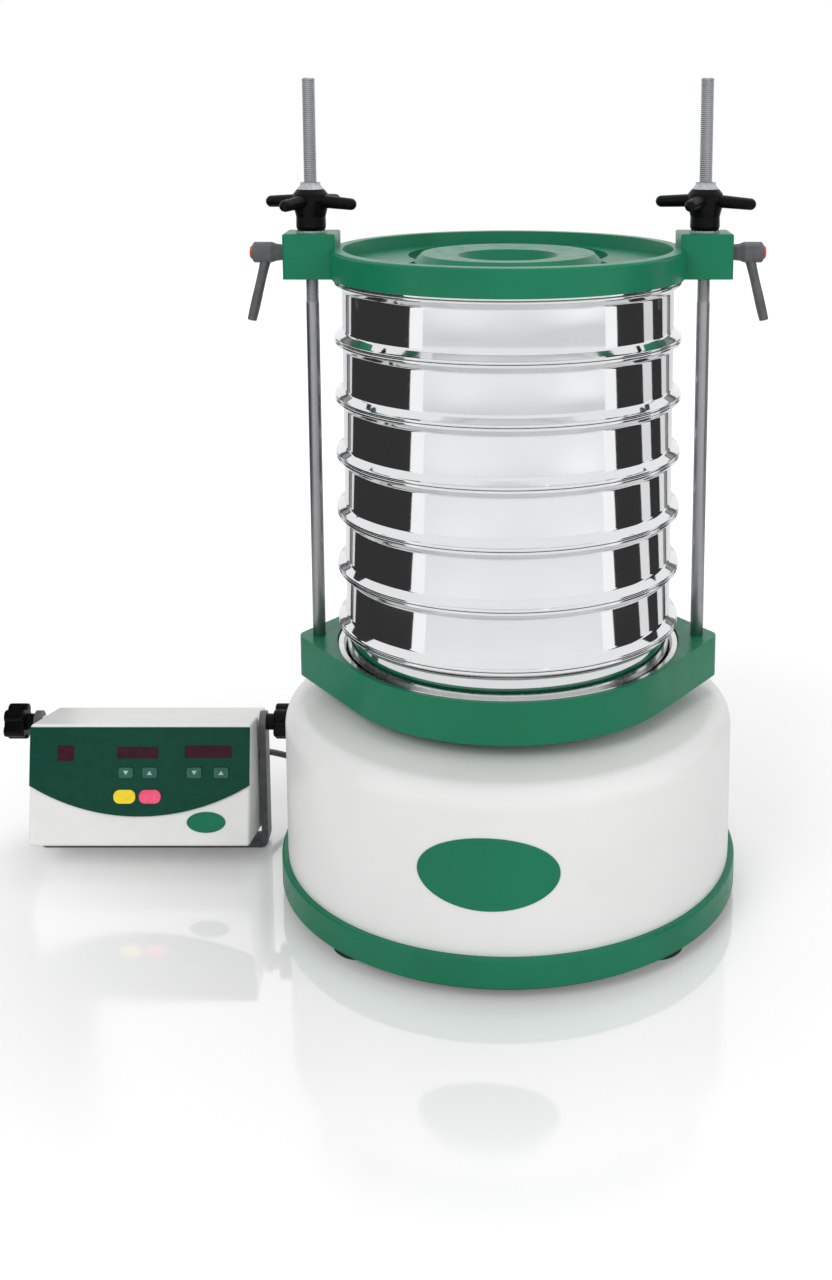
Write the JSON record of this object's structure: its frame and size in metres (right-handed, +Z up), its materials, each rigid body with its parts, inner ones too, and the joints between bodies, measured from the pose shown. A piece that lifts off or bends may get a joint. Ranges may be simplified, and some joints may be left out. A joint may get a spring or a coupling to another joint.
{
  "type": "sieve shaker",
  "caption": "Electromagnetic laboratory sieve shaker: round base, clamped stack of round sieves on two rods, and a separate control unit on a tilting stand.",
  "frame": {"origin": "centre of the round base, on the bench under its rubber feet", "axes": "+Z up along the clamping rods; the front of the base and the control panel face -Y; +X to the right seen from the front"},
  "size_m": [0.7385, 0.5637, 0.764],
  "materials": {
    "green_casting": "gloss enamel",
    "black_plate": "matte black",
    "white_housing": "satin white powder coat",
    "rubber": "matte",
    "gaiter_rubber": "matte",
    "zinc_steel": "zinc plated",
    "core_steel": "laminated, varnished",
    "copper_winding": "enamelled copper winding, taped",
    "spring_steel": "oiled",
    "yoke_alloy": "cast",
    "rod_steel": "ground, threaded",
    "seat_steel": "bright",
    "sieve_steel": "polished stainless",
    "woven_mesh": "woven wire",
    "black_plastic": "moulded",
    "gland_plastic": "moulded",
    "lever_zinc": "black coated",
    "orange_plastic": "moulded",
    "case_white": "satin",
    "panel_green": "printed polyester film",
    "display_red": "tinted window",
    "key_green": "domed film",
    "key_yellow": "domed film",
    "key_red": "domed film",
    "inlet_plastic": "moulded",
    "rocker_plastic": "moulded",
    "bracket_steel": "grey enamel",
    "cable_pvc": "extruded sheath"
  },
  "bodies": {
    "base": {"base_tray": "green_casting", "bottom_plate": "black_plate", "housing_shell": "white_housing", "feet": "rubber", "base_screws": "zinc_steel", "magnet_core": "core_steel", "magnet_coil": "copper_winding", "drive_springs": "spring_steel", "gaiter": "gaiter_rubber", "base_gland": "gland_plastic", "control_bracket": "bracket_steel", "control_cable": "cable_pvc", "cable_coil": "cable_pvc"},
    "table": {"sieve_table": "green_casting", "seat_ring": "seat_steel", "drive_yoke": "yoke_alloy", "armature": "core_steel", "table_bolts": "zinc_steel", "left_rod": "rod_steel", "right_rod": "rod_steel", "rod_nuts": "zinc_steel"},
    "receiver": {"receiver_pan": "sieve_steel"},
    "sieve_6": {"sieve_frame_6": "sieve_steel", "sieve_mesh_6": "woven_mesh"},
    "sieve_5": {"sieve_frame_5": "sieve_steel", "sieve_mesh_5": "woven_mesh"},
    "sieve_4": {"sieve_frame_4": "sieve_steel", "sieve_mesh_4": "woven_mesh"},
    "sieve_3": {"sieve_frame_3": "sieve_steel", "sieve_mesh_3": "woven_mesh"},
    "sieve_2": {"sieve_frame_2": "sieve_steel", "sieve_mesh_2": "woven_mesh"},
    "sieve_1": {"sieve_frame_1": "sieve_steel", "sieve_mesh_1": "woven_mesh"},
    "cover": {"sieve_cover": "sieve_steel"},
    "lid": {"clamp_lid": "green_casting"},
    "left_rider": {"left_washer": "zinc_steel"},
    "left_nut": {"left_hand_nut": "black_plastic"},
    "right_rider": {"right_washer": "zinc_steel"},
    "right_nut": {"right_hand_nut": "black_plastic"},
    "left_clamp": {"left_lever": "lever_zinc", "left_clamp_stud": "zinc_steel"},
    "right_clamp": {"right_lever": "lever_zinc", "right_clamp_stud": "zinc_steel"},
    "left_button": {"left_lever_button": "orange_plastic"},
    "right_button": {"right_lever_button": "orange_plastic"},
    "control_unit": {"control_case": "case_white", "front_panel": "panel_green", "display_windows": "display_red", "mains_inlet": "inlet_plastic", "unit_gland": "gland_plastic"},
    "left_star_knob": {"left_knob": "black_plastic"},
    "right_star_knob": {"right_knob": "black_plastic"},
    "amplitude_down": {"amplitude_down_key": "key_green"},
    "amplitude_up": {"amplitude_up_key": "key_green"},
    "time_down": {"time_down_key": "key_green"},
    "time_up": {"time_up_key": "key_green"},
    "start": {"start_key": "key_yellow"},
    "stop": {"stop_key": "key_red"},
    "power_switch": {"power_rocker": "rocker_plastic"}
  },
  "joints": [
    {"name": "table_vibration", "type": "slide", "parent": "base", "child": "table", "axis": [0, 0, 1], "range_m": [-0.0015, 0.0015], "stiffness_N_per_m": 600000, "springref_m": 0.00053, "deforming": ["drive_springs", "gaiter"]},
    {"name": "receiver_lift", "type": "slide", "parent": "table", "child": "receiver", "axis": [0, 0, 1], "range_m": [0, 0.055]},
    {"name": "sieve_6_lift", "type": "slide", "parent": "receiver", "child": "sieve_6", "axis": [0, 0, 1], "range_m": [0, 0.04]},
    {"name": "sieve_5_lift", "type": "slide", "parent": "sieve_6", "child": "sieve_5", "axis": [0, 0, 1], "range_m": [0, 0.04]},
    {"name": "sieve_4_lift", "type": "slide", "parent": "sieve_5", "child": "sieve_4", "axis": [0, 0, 1], "range_m": [0, 0.04]},
    {"name": "sieve_3_lift", "type": "slide", "parent": "sieve_4", "child": "sieve_3", "axis": [0, 0, 1], "range_m": [0, 0.04]},
    {"name": "sieve_2_lift", "type": "slide", "parent": "sieve_3", "child": "sieve_2", "axis": [0, 0, 1], "range_m": [0, 0.04]},
    {"name": "sieve_1_lift", "type": "slide", "parent": "sieve_2", "child": "sieve_1", "axis": [0, 0, 1], "range_m": [0, 0.04]},
    {"name": "cover_lift", "type": "slide", "parent": "sieve_1", "child": "cover", "axis": [0, 0, 1], "range_m": [0, 0.03]},
    {"name": "lid_lift", "type": "slide", "parent": "cover", "child": "lid", "axis": [0, 0, 1], "range_m": [0, 0.185]},
    {"name": "left_nut_rise", "type": "slide", "parent": "lid", "child": "left_rider", "axis": [0, 0, 1], "range_m": [0, 0.1366]},
    {"name": "left_nut_turn", "type": "hinge", "parent": "left_rider", "child": "left_nut", "pos_m": [-0.179, 0, 0.648], "axis": [0, 0, 1], "range_deg": [0, 28080]},
    {"name": "left_lever_turn", "type": "hinge", "parent": "lid", "child": "left_clamp", "pos_m": [-0.2174, 0, 0.607], "axis": [-1, 0, 0], "range_deg": [-90, 90]},
    {"name": "left_button_press", "type": "slide", "parent": "left_clamp", "child": "left_button", "axis": [1, 0, 0], "range_m": [0, 0.002], "stiffness_N_per_m": 800},
    {"name": "right_nut_rise", "type": "slide", "parent": "lid", "child": "right_rider", "axis": [0, 0, 1], "range_m": [0, 0.1366]},
    {"name": "right_nut_turn", "type": "hinge", "parent": "right_rider", "child": "right_nut", "pos_m": [0.179, 0, 0.648], "axis": [0, 0, 1], "range_deg": [0, 28080]},
    {"name": "right_lever_turn", "type": "hinge", "parent": "lid", "child": "right_clamp", "pos_m": [0.2174, 0, 0.607], "axis": [1, 0, 0], "range_deg": [-90, 90]},
    {"name": "right_button_press", "type": "slide", "parent": "right_clamp", "child": "right_button", "axis": [-1, 0, 0], "range_m": [0, 0.002], "stiffness_N_per_m": 800},
    {"name": "unit_tilt", "type": "hinge", "parent": "base", "child": "control_unit", "pos_m": [-0.356, 0.06, 0.129], "axis": [1, 0, 0], "range_deg": [-20, 25], "deforming": ["control_cable"]},
    {"name": "left_knob_turn", "type": "hinge", "parent": "control_unit", "child": "left_star_knob", "pos_m": [-0.481, 0.06, 0.129], "axis": [-1, 0, 0], "range_deg": [0, 720]},
    {"name": "right_knob_turn", "type": "hinge", "parent": "control_unit", "child": "right_star_knob", "pos_m": [-0.231, 0.06, 0.129], "axis": [1, 0, 0], "range_deg": [0, 720]},
    {"name": "amplitude_down_press", "type": "slide", "parent": "control_unit", "child": "amplitude_down", "axis": [0, 0.9744, -0.225], "range_m": [0, 0.0006], "stiffness_N_per_m": 4000},
    {"name": "amplitude_up_press", "type": "slide", "parent": "control_unit", "child": "amplitude_up", "axis": [0, 0.9744, -0.225], "range_m": [0, 0.0006], "stiffness_N_per_m": 4000},
    {"name": "time_down_press", "type": "slide", "parent": "control_unit", "child": "time_down", "axis": [0, 0.9744, -0.225], "range_m": [0, 0.0006], "stiffness_N_per_m": 4000},
    {"name": "time_up_press", "type": "slide", "parent": "control_unit", "child": "time_up", "axis": [0, 0.9744, -0.225], "range_m": [0, 0.0006], "stiffness_N_per_m": 4000},
    {"name": "start_press", "type": "slide", "parent": "control_unit", "child": "start", "axis": [0, 0.9744, -0.225], "range_m": [0, 0.0006], "stiffness_N_per_m": 4000},
    {"name": "stop_press", "type": "slide", "parent": "control_unit", "child": "stop", "axis": [0, 0.9744, -0.225], "range_m": [0, 0.0006], "stiffness_N_per_m": 4000},
    {"name": "power_rocker_tilt", "type": "hinge", "parent": "control_unit", "child": "power_switch", "pos_m": [-0.378, 0.09084, 0.0603], "axis": [1, 0, 0], "range_deg": [0, 12]}
  ],
  "couplings": [
    {"joint": "left_nut_rise", "follows": "left_nut_turn", "m_per_rad": 0.00027852},
    {"joint": "right_nut_rise", "follows": "right_nut_turn", "m_per_rad": 0.00027852}
  ]
}
